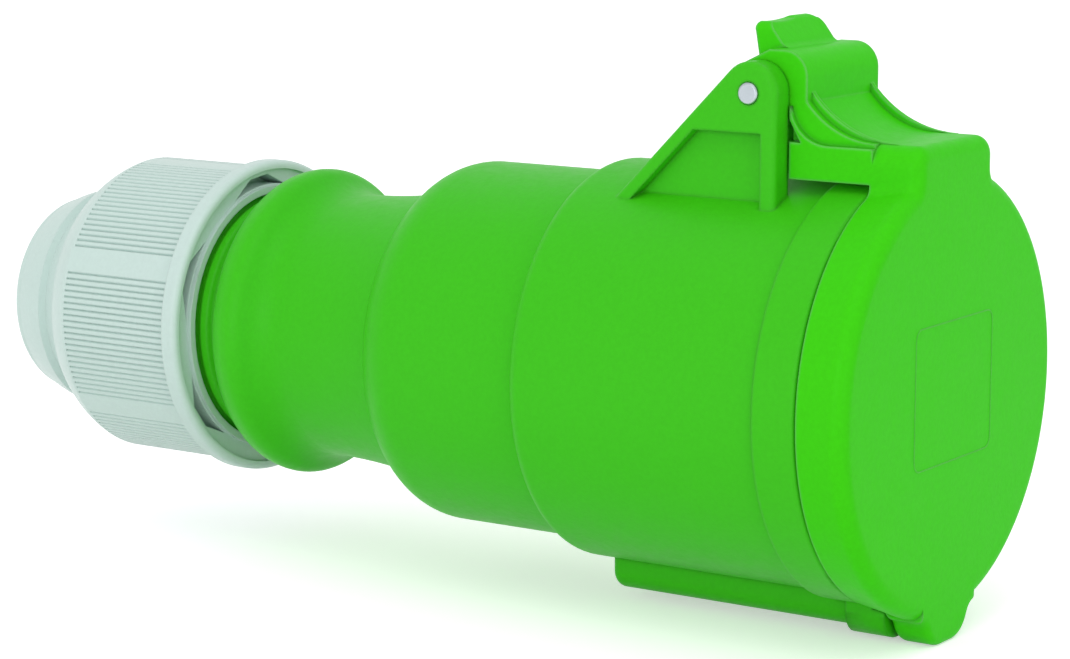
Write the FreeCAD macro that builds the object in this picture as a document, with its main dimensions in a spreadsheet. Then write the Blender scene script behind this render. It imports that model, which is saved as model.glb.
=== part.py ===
import FreeCAD, Part
import math
import os
import Sketcher
from FreeCAD import Vector

# Cable connector of the round industrial pin-and-sleeve kind, lid closed, no cable fitted.
# The axis is +X, from the cable entry at the origin to the lid. +Z points to the lid hinge
# and the key channel is underneath. All sizes are in millimetres.

doc = FreeCAD.newDocument("power_connector")
sheet = doc.addObject("Spreadsheet::Sheet", "Sizes")


class Size:
    """A number of the model, with the sheet expression that gives it."""

    def __init__(self, value, text):
        self.value = float(value)
        self.text = text

    def __add__(self, other):
        return joined(self, "+", other)

    def __radd__(self, other):
        return joined(other, "+", self)

    def __sub__(self, other):
        return joined(self, "-", other)

    def __rsub__(self, other):
        return joined(other, "-", self)

    def __mul__(self, other):
        return joined(self, "*", other)

    def __rmul__(self, other):
        return joined(other, "*", self)

    def __truediv__(self, other):
        return joined(self, "/", other)

    def __neg__(self):
        return joined(0, "-", self)


def as_size(number):
    """Any number as a Size."""
    return number if isinstance(number, Size) else Size(number, repr(number))


def joined(first, sign, second):
    """The sum, difference, product or quotient of two sizes."""
    first = as_size(first)
    second = as_size(second)
    results = {
        "+": first.value + second.value,
        "-": first.value - second.value,
        "*": first.value * second.value,
        "/": first.value / second.value if second.value else 0.0,
    }
    return Size(results[sign], "(%s %s %s)" % (first.text, sign, second.text))


def root_of(size):
    """The square root of a size."""
    return Size(math.sqrt(size.value), "sqrt(%s)" % size.text)


def sine(angle):
    """The sine of an angle in degrees."""
    return Size(math.sin(math.radians(angle.value)), "sin(%s * 1deg)" % angle.text)


def cosine(angle):
    """The cosine of an angle in degrees."""
    return Size(math.cos(math.radians(angle.value)), "cos(%s * 1deg)" % angle.text)


def chord_height(radius, half_width):
    """How far from the axis a circle lies, half_width to the side of its top."""
    return root_of(radius * radius - half_width * half_width)


def swept_radius(run, rise):
    """Radius of an arc that starts level and climbs by rise over run."""
    return (run * run + rise * rise) / (2 * rise)


def size(alias, value):
    """Write one driving dimension into the sheet."""
    size.row += 1
    cell = "B%d" % size.row
    sheet.set("A%d" % size.row, alias)
    sheet.set(cell, str(value))
    sheet.setAlias(cell, alias)
    return Size(value, "Sizes.%s" % alias)


size.row = 0

# Union nut
nut_length = size("nut_length", 40.5)
nut_tail_length = size("nut_tail_length", 7.3)
nut_tail_rear_radius = size("nut_tail_rear_radius", 13.7)
nut_tail_corner = size("nut_tail_corner", 1.7)
nut_tail_front_radius = size("nut_tail_front_radius", 17.3)
nut_groove_depth = size("nut_groove_depth", 0.8)
nut_shoulder_start = size("nut_shoulder_start", 12.9)
nut_shoulder_radius = size("nut_shoulder_radius", 20.3)
nut_barrel_start = size("nut_barrel_start", 17.2)
nut_barrel_radius = size("nut_barrel_radius", 22.8)
nut_flange_radius = size("nut_flange_radius", 23.9)
nut_flange_width = size("nut_flange_width", 2.5)
nut_rim_width = size("nut_rim_width", 1.3)
nut_face_recess = size("nut_face_recess", 0.7)
nut_collar_width = size("nut_collar_width", 1.1)
nut_edge_round = size("nut_edge_round", 0.9)
nut_entry_radius = size("nut_entry_radius", 8.2)
nut_entry_wall = size("nut_entry_wall", 4.0)
nut_cavity_radius = size("nut_cavity_radius", 13.8)
nut_bore_radius = size("nut_bore_radius", 19.0)
nut_cone_start = size("nut_cone_start", 7.0)
nut_cone_end = size("nut_cone_end", 21.0)
nut_grip_groups = size("nut_grip_groups", 6)
nut_grip_count = size("nut_grip_count", 22)
nut_grip_pitch = size("nut_grip_pitch", 0.93)
nut_grip_depth = size("nut_grip_depth", 0.38)
nut_pocket_count = size("nut_pocket_count", 6)
nut_pocket_depth = size("nut_pocket_depth", 3.6)
nut_pocket_turn = size("nut_pocket_turn", 7)
nut_pocket_half_angle = size("nut_pocket_half_angle", 17.5)
nut_pocket_top_angle = size("nut_pocket_top_angle", 5.5)

# Neck and grip of the rear shell
thread_clearance = size("thread_clearance", 0.5)
thread_height = size("thread_height", 0.7)
thread_pitch = size("thread_pitch", 3.0)
thread_turns = size("thread_turns", 5)
thread_crest = size("thread_crest", 1.2)
neck_in_nut = size("neck_in_nut", 13.0)
neck_wall = size("neck_wall", 2.4)
bulge_gap = size("bulge_gap", 4.1)
bulge_radius = size("bulge_radius", 23.15)
bulge_round = size("bulge_round", 5.0)
bulge_share = size("bulge_share", 0.32)
waist_run = size("waist_run", 7.2)
waist_radius = size("waist_radius", 19.8)
waist_flare_run = size("waist_flare_run", 17.2)
waist_flare_rise = size("waist_flare_rise", 1.6)
shoulder_run = size("shoulder_run", 7.1)
grip_length = size("grip_length", 27.7)
grip_radius = size("grip_radius", 26.4)
grip_wall = size("grip_wall", 2.5)

# Front housing
housing_overlap = size("housing_overlap", 5.8)
housing_step = size("housing_step", 2.1)
housing_rear_round = size("housing_rear_round", 2.0)
sleeve_length = size("sleeve_length", 38.9)
collar_ramp = size("collar_ramp", 0.5)
collar_step = size("collar_step", 0.9)
collar_length = size("collar_length", 6.7)
collar_edge_round = size("collar_edge_round", 0.4)
rim_length = size("rim_length", 5.0)
rim_wall = size("rim_wall", 1.6)
cavity_step = size("cavity_step", 1.2)
shell_fit = size("shell_fit", 0.15)

# Hinge ears
pin_setback = size("pin_setback", 16.2)
pin_above_saddle = size("pin_above_saddle", 6.1)
pin_radius = size("pin_radius", 1.5)
pin_play = size("pin_play", 0.05)
pin_stand_out = size("pin_stand_out", 0.35)
ear_outer = size("ear_outer", 14.0)
ear_thickness = size("ear_thickness", 3.7)
ear_web = size("ear_web", 1.9)
ear_round = size("ear_round", 4.2)
ear_head_offset = size("ear_head_offset", -0.1)
ear_post = size("ear_post", 2.2)
ear_strut = size("ear_strut", 1.9)
ear_edge_round = size("ear_edge_round", 0.8)
ear_head = size("ear_head", 5.3)
ear_slope_run = size("ear_slope_run", 19.5)
ear_slope_rise = size("ear_slope_rise", 19.8)

# Key channel under the housing
key_setback = size("key_setback", 3.0)
key_half_width = size("key_half_width", 6.2)
key_height = size("key_height", 4.0)
key_round = size("key_round", 2.6)
key_end_round = size("key_end_round", 1.6)
key_box_setback = size("key_box_setback", 2.6)
key_box_half_width = size("key_box_half_width", 7.0)
key_box_height = size("key_box_height", 4.0)
key_nose_half_width = size("key_nose_half_width", 4.4)
key_nose_height = size("key_nose_height", 3.4)
key_tongue_gap = size("key_tongue_gap", 0.4)
channel_half_width = size("channel_half_width", 3.2)
channel_depth = size("channel_depth", 3.4)

# Lid
lid_gap = size("lid_gap", 0.4)
lid_depth = size("lid_depth", 7.5)
lid_wall = size("lid_wall", 1.9)
lid_rear_step = size("lid_rear_step", 0.2)
lid_front_step = size("lid_front_step", 1.5)
lid_rim_clearance = size("lid_rim_clearance", 1.6)
lid_front_round = size("lid_front_round", 1.9)
saddle_half_width = size("saddle_half_width", 10.8)
saddle_height = size("saddle_height", 3.3)
saddle_round = size("saddle_round", 2.8)
saddle_front_round = size("saddle_front_round", 1.6)
arm_rear_gap = size("arm_rear_gap", 0.4)
arm_sink = size("arm_sink", 0.5)
arm_wall = size("arm_wall", 2.0)
arm_roof = size("arm_roof", 3.0)
rim_drop = size("rim_drop", 0.6)
rim_rise = size("rim_rise", 5.0)
rim_run = size("rim_run", 5.6)
notch_run = size("notch_run", 1.7)
notch_rise = size("notch_rise", 3.0)
notch_floor = size("notch_floor", 0.2)
knuckle_radius = size("knuckle_radius", 5.3)
knuckle_gap = size("knuckle_gap", 0.4)
knuckle_front = size("knuckle_front", 6.6)
knuckle_height = size("knuckle_height", 5.6)
knuckle_corner = size("knuckle_corner", 3.5)
knuckle_flat_start = size("knuckle_flat_start", 0.8)
knuckle_slope_end = size("knuckle_slope_end", 3.1)
floor_run = size("floor_run", 10.4)
floor_rise = size("floor_rise", 5.0)
crest_half_width = size("crest_half_width", 8.6)
crest_width = size("crest_width", 0.9)
crest_overlap = size("crest_overlap", 3.0)
crest_run = size("crest_run", 14.0)
crest_rise = size("crest_rise", 7.6)
tab_half_width = size("tab_half_width", 7.0)
tab_front_foot = size("tab_front_foot", 2.8)
tab_bend_across = size("tab_bend_across", 1.2)
tab_bend_height = size("tab_bend_height", 6.1)
tab_bend_round = size("tab_bend_round", 2.0)
tab_tip_across = size("tab_tip_across", 1.1)
tab_tip_height = size("tab_tip_height", 9.1)
tab_back_across = size("tab_back_across", 3.0)
tab_back_height = size("tab_back_height", 7.7)
tab_tip_round = size("tab_tip_round", 1.21)
tab_rear_foot = size("tab_rear_foot", 2.2)
tab_left_height = size("tab_left_height", 9.0)
tab_middle_height = size("tab_middle_height", 9.1)
tab_right_height = size("tab_right_height", 8.9)
tab_corner = size("tab_corner", 1.2)
tab_dip_round = size("tab_dip_round", 25)
tab_crown_round = size("tab_crown_round", 7)
lug_setback = size("lug_setback", 1.8)
lug_half_width = size("lug_half_width", 6.3)
lug_height = size("lug_height", 3.2)
lug_round = size("lug_round", 4.6)
lug_flare = size("lug_flare", 2.5)
lug_wall = size("lug_wall", 1.3)
lug_end_round = size("lug_end_round", 1.2)
lug_front_round = size("lug_front_round", 0.9)
seal_gap = size("seal_gap", 0.1)
seal_lip = size("seal_lip", 2.2)
spring_wire_radius = size("spring_wire_radius", 0.45)
spring_coil_radius = size("spring_coil_radius", 2.5)
spring_half_length = size("spring_half_length", 3.0)
spring_room = size("spring_room", 0.5)
spring_full_turns = size("spring_full_turns", 3)
spring_leg_rise = size("spring_leg_rise", 1.2)
spring_leg_gap = size("spring_leg_gap", 5.0)

# Contact insert
insert_gap = size("insert_gap", 0.4)
insert_rim_length = size("insert_rim_length", 3.0)
shroud_room = size("shroud_room", 4.3)
insert_setback = size("insert_setback", 3.6)
insert_play = size("insert_play", 0.1)
contact_circle_radius = size("contact_circle_radius", 10.5)
earth_bore_radius = size("earth_bore_radius", 3.55)
earth_sleeve_radius = size("earth_sleeve_radius", 4.75)
phase_bore_radius = size("phase_bore_radius", 2.55)
phase_sleeve_radius = size("phase_sleeve_radius", 3.75)
entry_margin = size("entry_margin", 0.9)
insert_front_bevel = size("insert_front_bevel", 0.6)
sleeve_front_gap = size("sleeve_front_gap", 1.2)
sleeve_bore_length = size("sleeve_bore_length", 30.0)
sleeve_slot_length = size("sleeve_slot_length", 13.0)
sleeve_slot_width = size("sleeve_slot_width", 0.7)
sleeve_collar = size("sleeve_collar", 0.9)
sleeve_collar_length = size("sleeve_collar_length", 1.6)
terminal_length = size("terminal_length", 14.0)
wire_hole_radius = size("wire_hole_radius", 2.0)
wire_hole_depth = size("wire_hole_depth", 11.0)
ring_thickness = size("ring_thickness", 0.6)
ring_width = size("ring_width", 3.0)
ring_setback = size("ring_setback", 4.0)
ring_opening = size("ring_opening", 1.6)
screw_radius = size("screw_radius", 1.6)
screw_length = size("screw_length", 4.6)
screw_setback = size("screw_setback", 5.0)
screw_slot = size("screw_slot", 0.7)
cover_thickness = size("cover_thickness", 3.6)
cover_gap = size("cover_gap", 0.1)

# Seal and lock between rear shell and housing
body_seal_setback = size("body_seal_setback", 1.8)
body_seal_thickness = size("body_seal_thickness", 1.25)
body_seal_groove = size("body_seal_groove", 1.9)
lock_width = size("lock_width", 4.8)
lock_length = size("lock_length", 2.3)
lock_height = size("lock_height", 3.4)
lock_play = size("lock_play", 0.1)

# Cable clamp
cage_flange_length = size("cage_flange_length", 2.5)
cage_spigot_length = size("cage_spigot_length", 8.0)
cage_play = size("cage_play", 0.2)
cage_tip = size("cage_tip", 8.4)
cage_tip_radius = size("cage_tip_radius", 13.3)
cage_root_radius = size("cage_root_radius", 16.2)
cage_slots = size("cage_slots", 8)
cage_slot_width = size("cage_slot_width", 1.5)
cable_seal_radius = size("cable_seal_radius", 10.8)
cable_bore_radius = size("cable_bore_radius", 5.6)
cable_seal_length = size("cable_seal_length", 26.0)
thrust_gap = size("thrust_gap", 0.3)
thrust_thickness = size("thrust_thickness", 2.2)
thrust_inner_radius = size("thrust_inner_radius", 9.0)

doc.recompute()

FULL_TURN = 360
FOURTH_TURN = 90
TIGHT = 1e-4
SPRING_PART_TURN = 225
SPRING_TOUCH = 0.05


def origin_feature(body, role):
    """A plane or axis of the body's own origin."""
    return [item for item in body.Origin.OriginFeatures if item.Role == role][0]


def new_body(label):
    """An empty body that carries the name of its piece."""
    body = doc.addObject("PartDesign::Body", label)
    body.Label = label
    return body


def new_sketch(body, name, plane, lift):
    """A sketch on a plane of the body, moved along the plane's normal by lift."""
    sketch = body.newObject("Sketcher::SketchObject", name)
    sketch.AttachmentSupport = (origin_feature(body, plane), [""])
    sketch.MapMode = "FlatFace"
    lift = as_size(lift)
    sketch.AttachmentOffset = FreeCAD.Placement(Vector(0, 0, lift.value), FreeCAD.Rotation())
    sketch.setExpression(".AttachmentOffset.Base.z", lift.text)
    return sketch


def arc_centre(start, end, radius, turn):
    """Centre of the short arc from start to end that turns left (1) or right (-1)."""
    middle = (start + end) * 0.5
    chord = end - start
    offset = math.sqrt(max(radius * radius - chord.Length * chord.Length / 4, 0.0))
    normal = Vector(-chord.y, chord.x, 0).normalize()
    return middle + normal * offset * turn


def add_arc(sketch, start, end, radius, turn):
    """Add an arc edge and tell which of its ends is the start of the outline's step."""
    centre = arc_centre(start, end, radius, turn)
    first = start if turn > 0 else end
    last = end if turn > 0 else start
    from_angle = math.atan2(first.y - centre.y, first.x - centre.x)
    to_angle = math.atan2(last.y - centre.y, last.x - centre.x)
    if to_angle <= from_angle:
        to_angle += 2 * math.pi
    circle = Part.Circle(centre, Vector(0, 0, 1), radius)
    edge = sketch.addGeometry(Part.ArcOfCircle(circle, from_angle, to_angle), False)
    return (edge, 1, 2) if turn > 0 else (edge, 2, 1)


def pin_down(sketch, edge, end, across, up):
    """Tie one end of an edge to its place."""
    for kind, place, axis in (("DistanceX", across, -2), ("DistanceY", up, -1)):
        if place.value == 0:
            sketch.addConstraint(Sketcher.Constraint("PointOnObject", edge, end, axis))
            continue
        number = sketch.addConstraint(Sketcher.Constraint(kind, -1, 1, edge, end, place.value))
        sketch.setExpression("Constraints[%d]" % number, place.text)


def add_outline(sketch, steps):
    """Draw a closed outline. A step is (across, up), or (across, up, radius, turn) for an arc to it."""
    corners = [(as_size(step[0]), as_size(step[1])) for step in steps]
    places = [Vector(across.value, up.value, 0) for across, up in corners]
    edges = []
    for index, step in enumerate(steps):
        start = places[index - 1]
        end = places[index]
        if len(step) == 2:
            edge = sketch.addGeometry(Part.LineSegment(start, end), False)
            edges.append((edge, 1, 2))
        else:
            radius = as_size(step[2])
            added = add_arc(sketch, start, end, radius.value, step[3])
            edges.append(added)
            number = sketch.addConstraint(Sketcher.Constraint("Radius", added[0], radius.value))
            sketch.setExpression("Constraints[%d]" % number, radius.text)
    for index, (edge, _, end) in enumerate(edges):
        following = edges[(index + 1) % len(edges)]
        sketch.addConstraint(Sketcher.Constraint("Coincident", edge, end, following[0], following[1]))
        pin_down(sketch, edge, end, corners[index][0], corners[index][1])


def add_circle(sketch, across, up, radius):
    """Draw a circle tied to its place and size."""
    across = as_size(across)
    up = as_size(up)
    radius = as_size(radius)
    circle = Part.Circle(Vector(across.value, up.value, 0), Vector(0, 0, 1), radius.value)
    edge = sketch.addGeometry(circle, False)
    pin_down(sketch, edge, 3, across, up)
    number = sketch.addConstraint(Sketcher.Constraint("Radius", edge, radius.value))
    sketch.setExpression("Constraints[%d]" % number, radius.text)


def bind(item, name, value):
    """Give a property its number and its expression."""
    value = as_size(value)
    whole = isinstance(getattr(item, name), int)
    setattr(item, name, int(value.value) if whole else value.value)
    item.setExpression(name, value.text)


def turned(body, name, steps, cut=False):
    """Turn an outline of (along, radius) steps about the X axis, as material or as a cut."""
    sketch = new_sketch(body, name + "_outline", "XZ_Plane", 0)
    add_outline(sketch, steps)
    kind = "PartDesign::Groove" if cut else "PartDesign::Revolution"
    feature = body.newObject(kind, name)
    feature.Profile = sketch
    feature.ReferenceAxis = (origin_feature(body, "X_Axis"), [""])
    feature.Angle = FULL_TURN
    return feature


def between(body, name, plane, low, high, draw, cut=False):
    """Extrude what draw puts in a sketch between two levels across a plane."""
    low = as_size(low)
    high = as_size(high)
    if plane == "XZ_Plane":
        pad_lift = -high
        cut_lift = -low
    else:
        pad_lift = low
        cut_lift = high
    sketch = new_sketch(body, name + "_outline", plane, cut_lift if cut else pad_lift)
    draw(sketch)
    feature = body.newObject("PartDesign::Pocket" if cut else "PartDesign::Pad", name)
    feature.Profile = sketch
    bind(feature, "Length", high - low)
    return feature


def outline_between(body, name, plane, low, high, steps, cut=False):
    """Extrude one closed outline between two levels."""
    return between(body, name, plane, low, high, lambda sketch: add_outline(sketch, steps), cut)


def circle_between(body, name, plane, low, high, across, up, radius, cut=False):
    """Extrude one circle between two levels."""
    return between(body, name, plane, low, high,
                   lambda sketch: add_circle(sketch, across, up, radius), cut)


def repeated(body, name, originals, count, angle=FULL_TURN):
    """Repeat features about the X axis."""
    pattern = body.newObject("PartDesign::PolarPattern", name)
    pattern.Originals = originals
    pattern.Axis = (origin_feature(body, "X_Axis"), [""])
    pattern.Angle = angle
    bind(pattern, "Occurrences", count)
    body.Tip = pattern
    return pattern


def mirrored(body, name, originals):
    """Mirror features to the other side of the upright plane through the axis."""
    mirror = body.newObject("PartDesign::Mirrored", name)
    mirror.Originals = originals
    mirror.MirrorPlane = (origin_feature(body, "XZ_Plane"), [""])
    body.Tip = mirror
    return mirror


def rounded(body, name, radius, wanted):
    """Round the edges of the body so far that wanted(edge) picks."""
    doc.recompute()
    base = body.Tip
    names = ["Edge%d" % (index + 1) for index, edge in enumerate(base.Shape.Edges) if wanted(edge)]
    if not names:
        raise RuntimeError("no edge to round for " + name)
    fillet = body.newObject("PartDesign::Fillet", name)
    fillet.Base = (base, names)
    bind(fillet, "Radius", radius)
    return fillet


def is_ring(edge, along, radius):
    """Whether an edge lies on the circle of that radius about the X axis."""
    curve = edge.Curve
    if not isinstance(curve, Part.Circle):
        return False
    centre = curve.Center
    near = abs(centre.x - along.value) < TIGHT and math.hypot(centre.y, centre.z) < TIGHT
    return near and abs(curve.Radius - radius.value) < TIGHT


def middle_of(edge):
    """Point halfway along an edge."""
    return edge.valueAt((edge.FirstParameter + edge.LastParameter) / 2)


def rounded_channel(half_width, top, bottom, corner):
    """Outline of a U-shaped bar, open side up, from top down to bottom below the axis."""
    return [
        (-half_width, -top),
        (-half_width, -bottom + corner),
        (-half_width + corner, -bottom, corner, 1),
        (half_width - corner, -bottom),
        (half_width, -bottom + corner, corner, 1),
        (half_width, -top),
    ]


# Stations along the axis that several pieces share
neck_start = nut_length - neck_in_nut
bulge_start = nut_length + bulge_gap
bulge_peak = bulge_start + bulge_round
waist_start = bulge_peak + waist_run
waist_end = waist_start + waist_flare_run
grip_start = waist_end + shoulder_run
shell_end = grip_start + grip_length
housing_start = shell_end - housing_overlap
collar_start = housing_start + sleeve_length
collar_end = collar_start + collar_length
rim_end = collar_end + rim_length
lid_rear = collar_end + lid_gap
lid_front = lid_rear + lid_depth
insert_start = shell_end + insert_gap
insert_face = rim_end - insert_setback
body_seal_x = housing_start + body_seal_setback
lock_start = shell_end - lock_length

# Radii and heights that several pieces share
crest_radius = nut_bore_radius - thread_clearance
neck_radius = crest_radius - thread_height
neck_bore_radius = neck_radius - neck_wall
cage_bore_radius = cable_seal_radius + insert_play
housing_radius = grip_radius + housing_step
collar_radius = housing_radius + collar_step
cavity_radius = grip_radius - cavity_step
rim_radius = cavity_radius + rim_wall
insert_radius = cavity_radius - shroud_room
lid_rear_radius = collar_radius + lid_rear_step
lid_radius = collar_radius + lid_front_step
lid_skirt_inner_radius = rim_radius + lid_rim_clearance
saddle_top = lid_radius + saddle_height
rim_top = saddle_top - rim_drop
arm_bottom = collar_radius - arm_sink

# Places round the hinge
pin_x = collar_end - pin_setback
pin_z = saddle_top + pin_above_saddle
ear_inner = ear_outer - ear_thickness
ear_front = pin_x + ear_head_offset + ear_round
knuckle_half = ear_inner - knuckle_gap
spring_pocket_radius = spring_coil_radius + spring_wire_radius + spring_room
contact_angles = {"earth": 150, "phase_top": 30, "phase_bottom": 270}


def union_nut():
    """Stepped nut with a tail ring, a ribbed barrel and a flange with pockets in its face."""
    body = new_body("union_nut")
    face = nut_length - nut_face_recess
    flange_back = nut_length - nut_flange_width
    rim_inner = nut_flange_radius - nut_rim_width
    turned(body, "nut_form", [
        (nut_length, nut_flange_radius),
        (flange_back, nut_flange_radius),
        (flange_back, nut_barrel_radius),
        (nut_barrel_start, nut_barrel_radius),
        (nut_shoulder_start, nut_shoulder_radius, 14.0, 1),
        (nut_tail_length + nut_groove_depth, nut_tail_front_radius - nut_groove_depth, 12.0, -1),
        (nut_tail_length, nut_tail_front_radius),
        (nut_tail_corner, nut_tail_rear_radius + nut_tail_corner, 30.0, 1),
        (0, nut_tail_rear_radius, nut_tail_corner, 1),
        (0, nut_entry_radius),
        (nut_entry_wall, nut_entry_radius),
        (nut_entry_wall, nut_cavity_radius),
        (nut_cone_start, nut_cavity_radius),
        (nut_cone_end, nut_bore_radius),
        (nut_length, nut_bore_radius),
        (nut_length, nut_bore_radius + nut_collar_width),
        (face, nut_bore_radius + nut_collar_width),
        (face, rim_inner),
        (nut_length, rim_inner),
    ])
    rounded(body, "nut_rounds", nut_edge_round,
            lambda edge: is_ring(edge, nut_length, nut_flange_radius))

    pocket_top = rim_inner - nut_face_recess
    pocket_low = nut_bore_radius + nut_collar_width + 0.2
    low_angle = nut_pocket_half_angle
    top_angle = nut_pocket_top_angle
    pocket = outline_between(body, "face_pocket", "YZ_Plane", face - nut_pocket_depth, nut_length, [
        face_place(pocket_low, low_angle) + (pocket_low, 1),
        face_place(pocket_top, top_angle),
        face_place(pocket_top, -top_angle),
        face_place(pocket_low, -low_angle),
    ], cut=True)
    repeated(body, "face_pockets", [pocket], nut_pocket_count)

    notch_half = nut_grip_pitch * 0.32
    notch = outline_between(body, "grip_notch", "YZ_Plane", nut_barrel_start + 0.4,
                            flange_back - 0.5, [
        (-notch_half, nut_barrel_radius + 0.2),
        (0, nut_barrel_radius - nut_grip_depth),
        (notch_half, nut_barrel_radius + 0.2),
    ], cut=True)
    pattern = body.newObject("PartDesign::MultiTransform", "grip_notches")
    pattern.Originals = [notch]
    across = body.newObject("PartDesign::PolarPattern", "notches_in_group")
    across.Axis = (origin_feature(body, "X_Axis"), [""])
    group_angle = (nut_grip_count - 1) * nut_grip_pitch / nut_barrel_radius * 180 / math.pi
    bind(across, "Angle", group_angle)
    bind(across, "Occurrences", nut_grip_count)
    across.Reversed = True
    around = body.newObject("PartDesign::PolarPattern", "groups_around")
    around.Axis = (origin_feature(body, "X_Axis"), [""])
    around.Angle = FULL_TURN
    bind(around, "Occurrences", nut_grip_groups)
    pattern.Transformations = [across, around]
    body.Tip = pattern
    return body


def face_place(radius, angle):
    """Place on the nut's face, by its angle from the middle of the pocket."""
    whole_angle = nut_pocket_turn + angle
    return -radius * sine(whole_angle), radius * cosine(whole_angle)


def rear_shell():
    """Hollow grip with a ridged neck, a bulge, a waist and a rounded shoulder."""
    body = new_body("rear_shell")
    rise = bulge_radius - waist_radius
    both = swept_radius(waist_run, rise)
    bend_x = bulge_peak + waist_run * bulge_share
    bend_r = bulge_radius - rise * bulge_share
    flare = swept_radius(waist_flare_run, waist_flare_rise)
    flare_radius = waist_radius + waist_flare_rise
    shoulder = swept_radius(shoulder_run, grip_radius - flare_radius)
    inner = grip_radius - grip_wall
    turned(body, "shell_form", [
        (neck_start, neck_bore_radius),
        (neck_start, neck_radius),
        (bulge_start, neck_radius),
        (bulge_start, bulge_radius - bulge_round),
        (bulge_peak, bulge_radius, bulge_round, -1),
        (bend_x, bend_r, both * bulge_share, -1),
        (waist_start, waist_radius, both * (1 - bulge_share), 1),
        (waist_end, flare_radius, flare, 1),
        (grip_start, grip_radius, shoulder, -1),
        (shell_end, grip_radius),
        (shell_end, inner),
        (grip_start, inner),
        (waist_end, flare_radius - grip_wall),
        (waist_start, neck_bore_radius),
    ])
    crest_middle = bulge_start - thread_pitch
    half_crest = thread_crest / 2
    ridge = turned(body, "thread_ridge", [
        (crest_middle - half_crest - thread_height, neck_radius - 0.2),
        (crest_middle - half_crest, crest_radius),
        (crest_middle + half_crest, crest_radius),
        (crest_middle + half_crest + thread_height, neck_radius - 0.2),
    ])
    ridges = body.newObject("PartDesign::LinearPattern", "thread_ridges")
    ridges.Originals = [ridge]
    ridges.Direction = (origin_feature(body, "X_Axis"), [""])
    ridges.Reversed = True
    bind(ridges, "Length", (thread_turns - 1) * thread_pitch)
    bind(ridges, "Occurrences", thread_turns)
    body.Tip = ridges
    half_groove = body_seal_groove / 2
    groove_floor = cavity_floor() - body_seal_thickness
    turned(body, "seal_groove", [
        (body_seal_x - half_groove, groove_floor),
        (body_seal_x + half_groove, groove_floor),
        (body_seal_x + half_groove, grip_radius + 1),
        (body_seal_x - half_groove, grip_radius + 1),
    ], cut=True)
    half_lock = lock_width / 2 + lock_play
    outline_between(body, "lock_notch", "YZ_Plane", lock_start - lock_play, shell_end + 1, [
        (-half_lock, inner - 2),
        (half_lock, inner - 2),
        (half_lock, grip_radius + 1),
        (-half_lock, grip_radius + 1),
    ], cut=True)
    return body


def cavity_floor():
    """Radius of the housing's rear socket, which takes the rear shell."""
    return grip_radius + shell_fit


def front_housing():
    """Sleeve with a collar, a rim under the lid, two hinge ears and the key channel."""
    body = new_body("front_housing")
    turned(body, "sleeve", [
        (housing_start, 0),
        (housing_start, housing_radius),
        (collar_start, housing_radius),
        (collar_start + collar_ramp, collar_radius),
        (collar_end, collar_radius),
        (collar_end, rim_radius),
        (rim_end, rim_radius),
        (rim_end, 0),
    ])
    rounded(body, "sleeve_rear_round", housing_rear_round,
            lambda edge: is_ring(edge, housing_start, housing_radius))
    rounded(body, "collar_rounds", collar_edge_round,
            lambda edge: is_ring(edge, collar_end, collar_radius))

    embedded = chord_height(cavity_radius, key_box_half_width)
    outline_between(body, "key_rib", "YZ_Plane", housing_start + key_setback, collar_end,
                    rounded_channel(key_half_width, embedded, housing_radius + key_height, key_round))
    outline_between(body, "key_box", "YZ_Plane", collar_start + key_box_setback, collar_end,
                    rounded_channel(key_box_half_width, embedded, collar_radius + key_box_height,
                                    key_round + key_box_half_width - key_half_width))
    rounded(body, "key_end_round", key_end_round,
            lambda edge: is_end_edge(edge, housing_start + key_setback, housing_radius))
    outline_between(body, "key_tongue", "YZ_Plane", collar_end - collar_length / 2,
                    lid_rear + lug_setback - key_tongue_gap, key_tongue_outline())
    outline_between(body, "key_nose", "YZ_Plane", collar_end - collar_length / 2, rim_end,
                    rounded_channel(key_nose_half_width, embedded, rim_radius + key_nose_height,
                                    key_round / 2))

    web = ear_outline()
    low = ear_inner
    ear_sheet = outline_between(body, "ear_web", "XZ_Plane", low, low + ear_web, web)

    def frame(sketch):
        add_outline(sketch, web)
        add_outline(sketch, ear_window())

    ear_frame = between(body, "ear_frame", "XZ_Plane", low + ear_web - 0.2, ear_outer, frame)
    mirrored(body, "far_ear", [ear_sheet, ear_frame])
    rounded(body, "ear_rounds", ear_edge_round, is_ear_edge)
    circle_between(body, "pin_hole", "XZ_Plane", -ear_outer - 1, ear_outer + 1,
                   pin_x, pin_z, pin_radius + pin_play, cut=True)

    turned(body, "cavity", [
        (housing_start - 1, 0),
        (housing_start - 1, cavity_floor()),
        (insert_start, cavity_floor()),
        (insert_start, cavity_radius),
        (rim_end + 1, cavity_radius),
        (rim_end + 1, 0),
    ], cut=True)
    channel_bottom = cavity_radius + channel_depth
    outline_between(body, "key_channel", "YZ_Plane", insert_start + insert_rim_length - insert_play,
                    rim_end + 1, [
        (-channel_half_width, -insert_radius),
        (-channel_half_width, -channel_bottom),
        (channel_half_width, -channel_bottom),
        (channel_half_width, -insert_radius),
    ], cut=True)
    half_lock = lock_width / 2 + lock_play
    outline_between(body, "lock_seat", "YZ_Plane", lock_start - lock_play, insert_start, [
        (-half_lock, cavity_radius),
        (half_lock, cavity_radius),
        (half_lock, lock_top() + lock_play),
        (-half_lock, lock_top() + lock_play),
    ], cut=True)
    return body


def lock_top():
    """Height of the top of the lock key."""
    return grip_radius - grip_wall + lock_height


def is_end_edge(edge, along, beyond):
    """Whether an edge lies in an upright plane and farther from the axis than beyond."""
    middle = middle_of(edge)
    flat = all(abs(vertex.X - along.value) < TIGHT for vertex in edge.Vertexes)
    low = middle.z < 0 and math.hypot(middle.y, middle.z) > beyond.value + TIGHT
    return flat and abs(middle.x - along.value) < TIGHT and low


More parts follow.
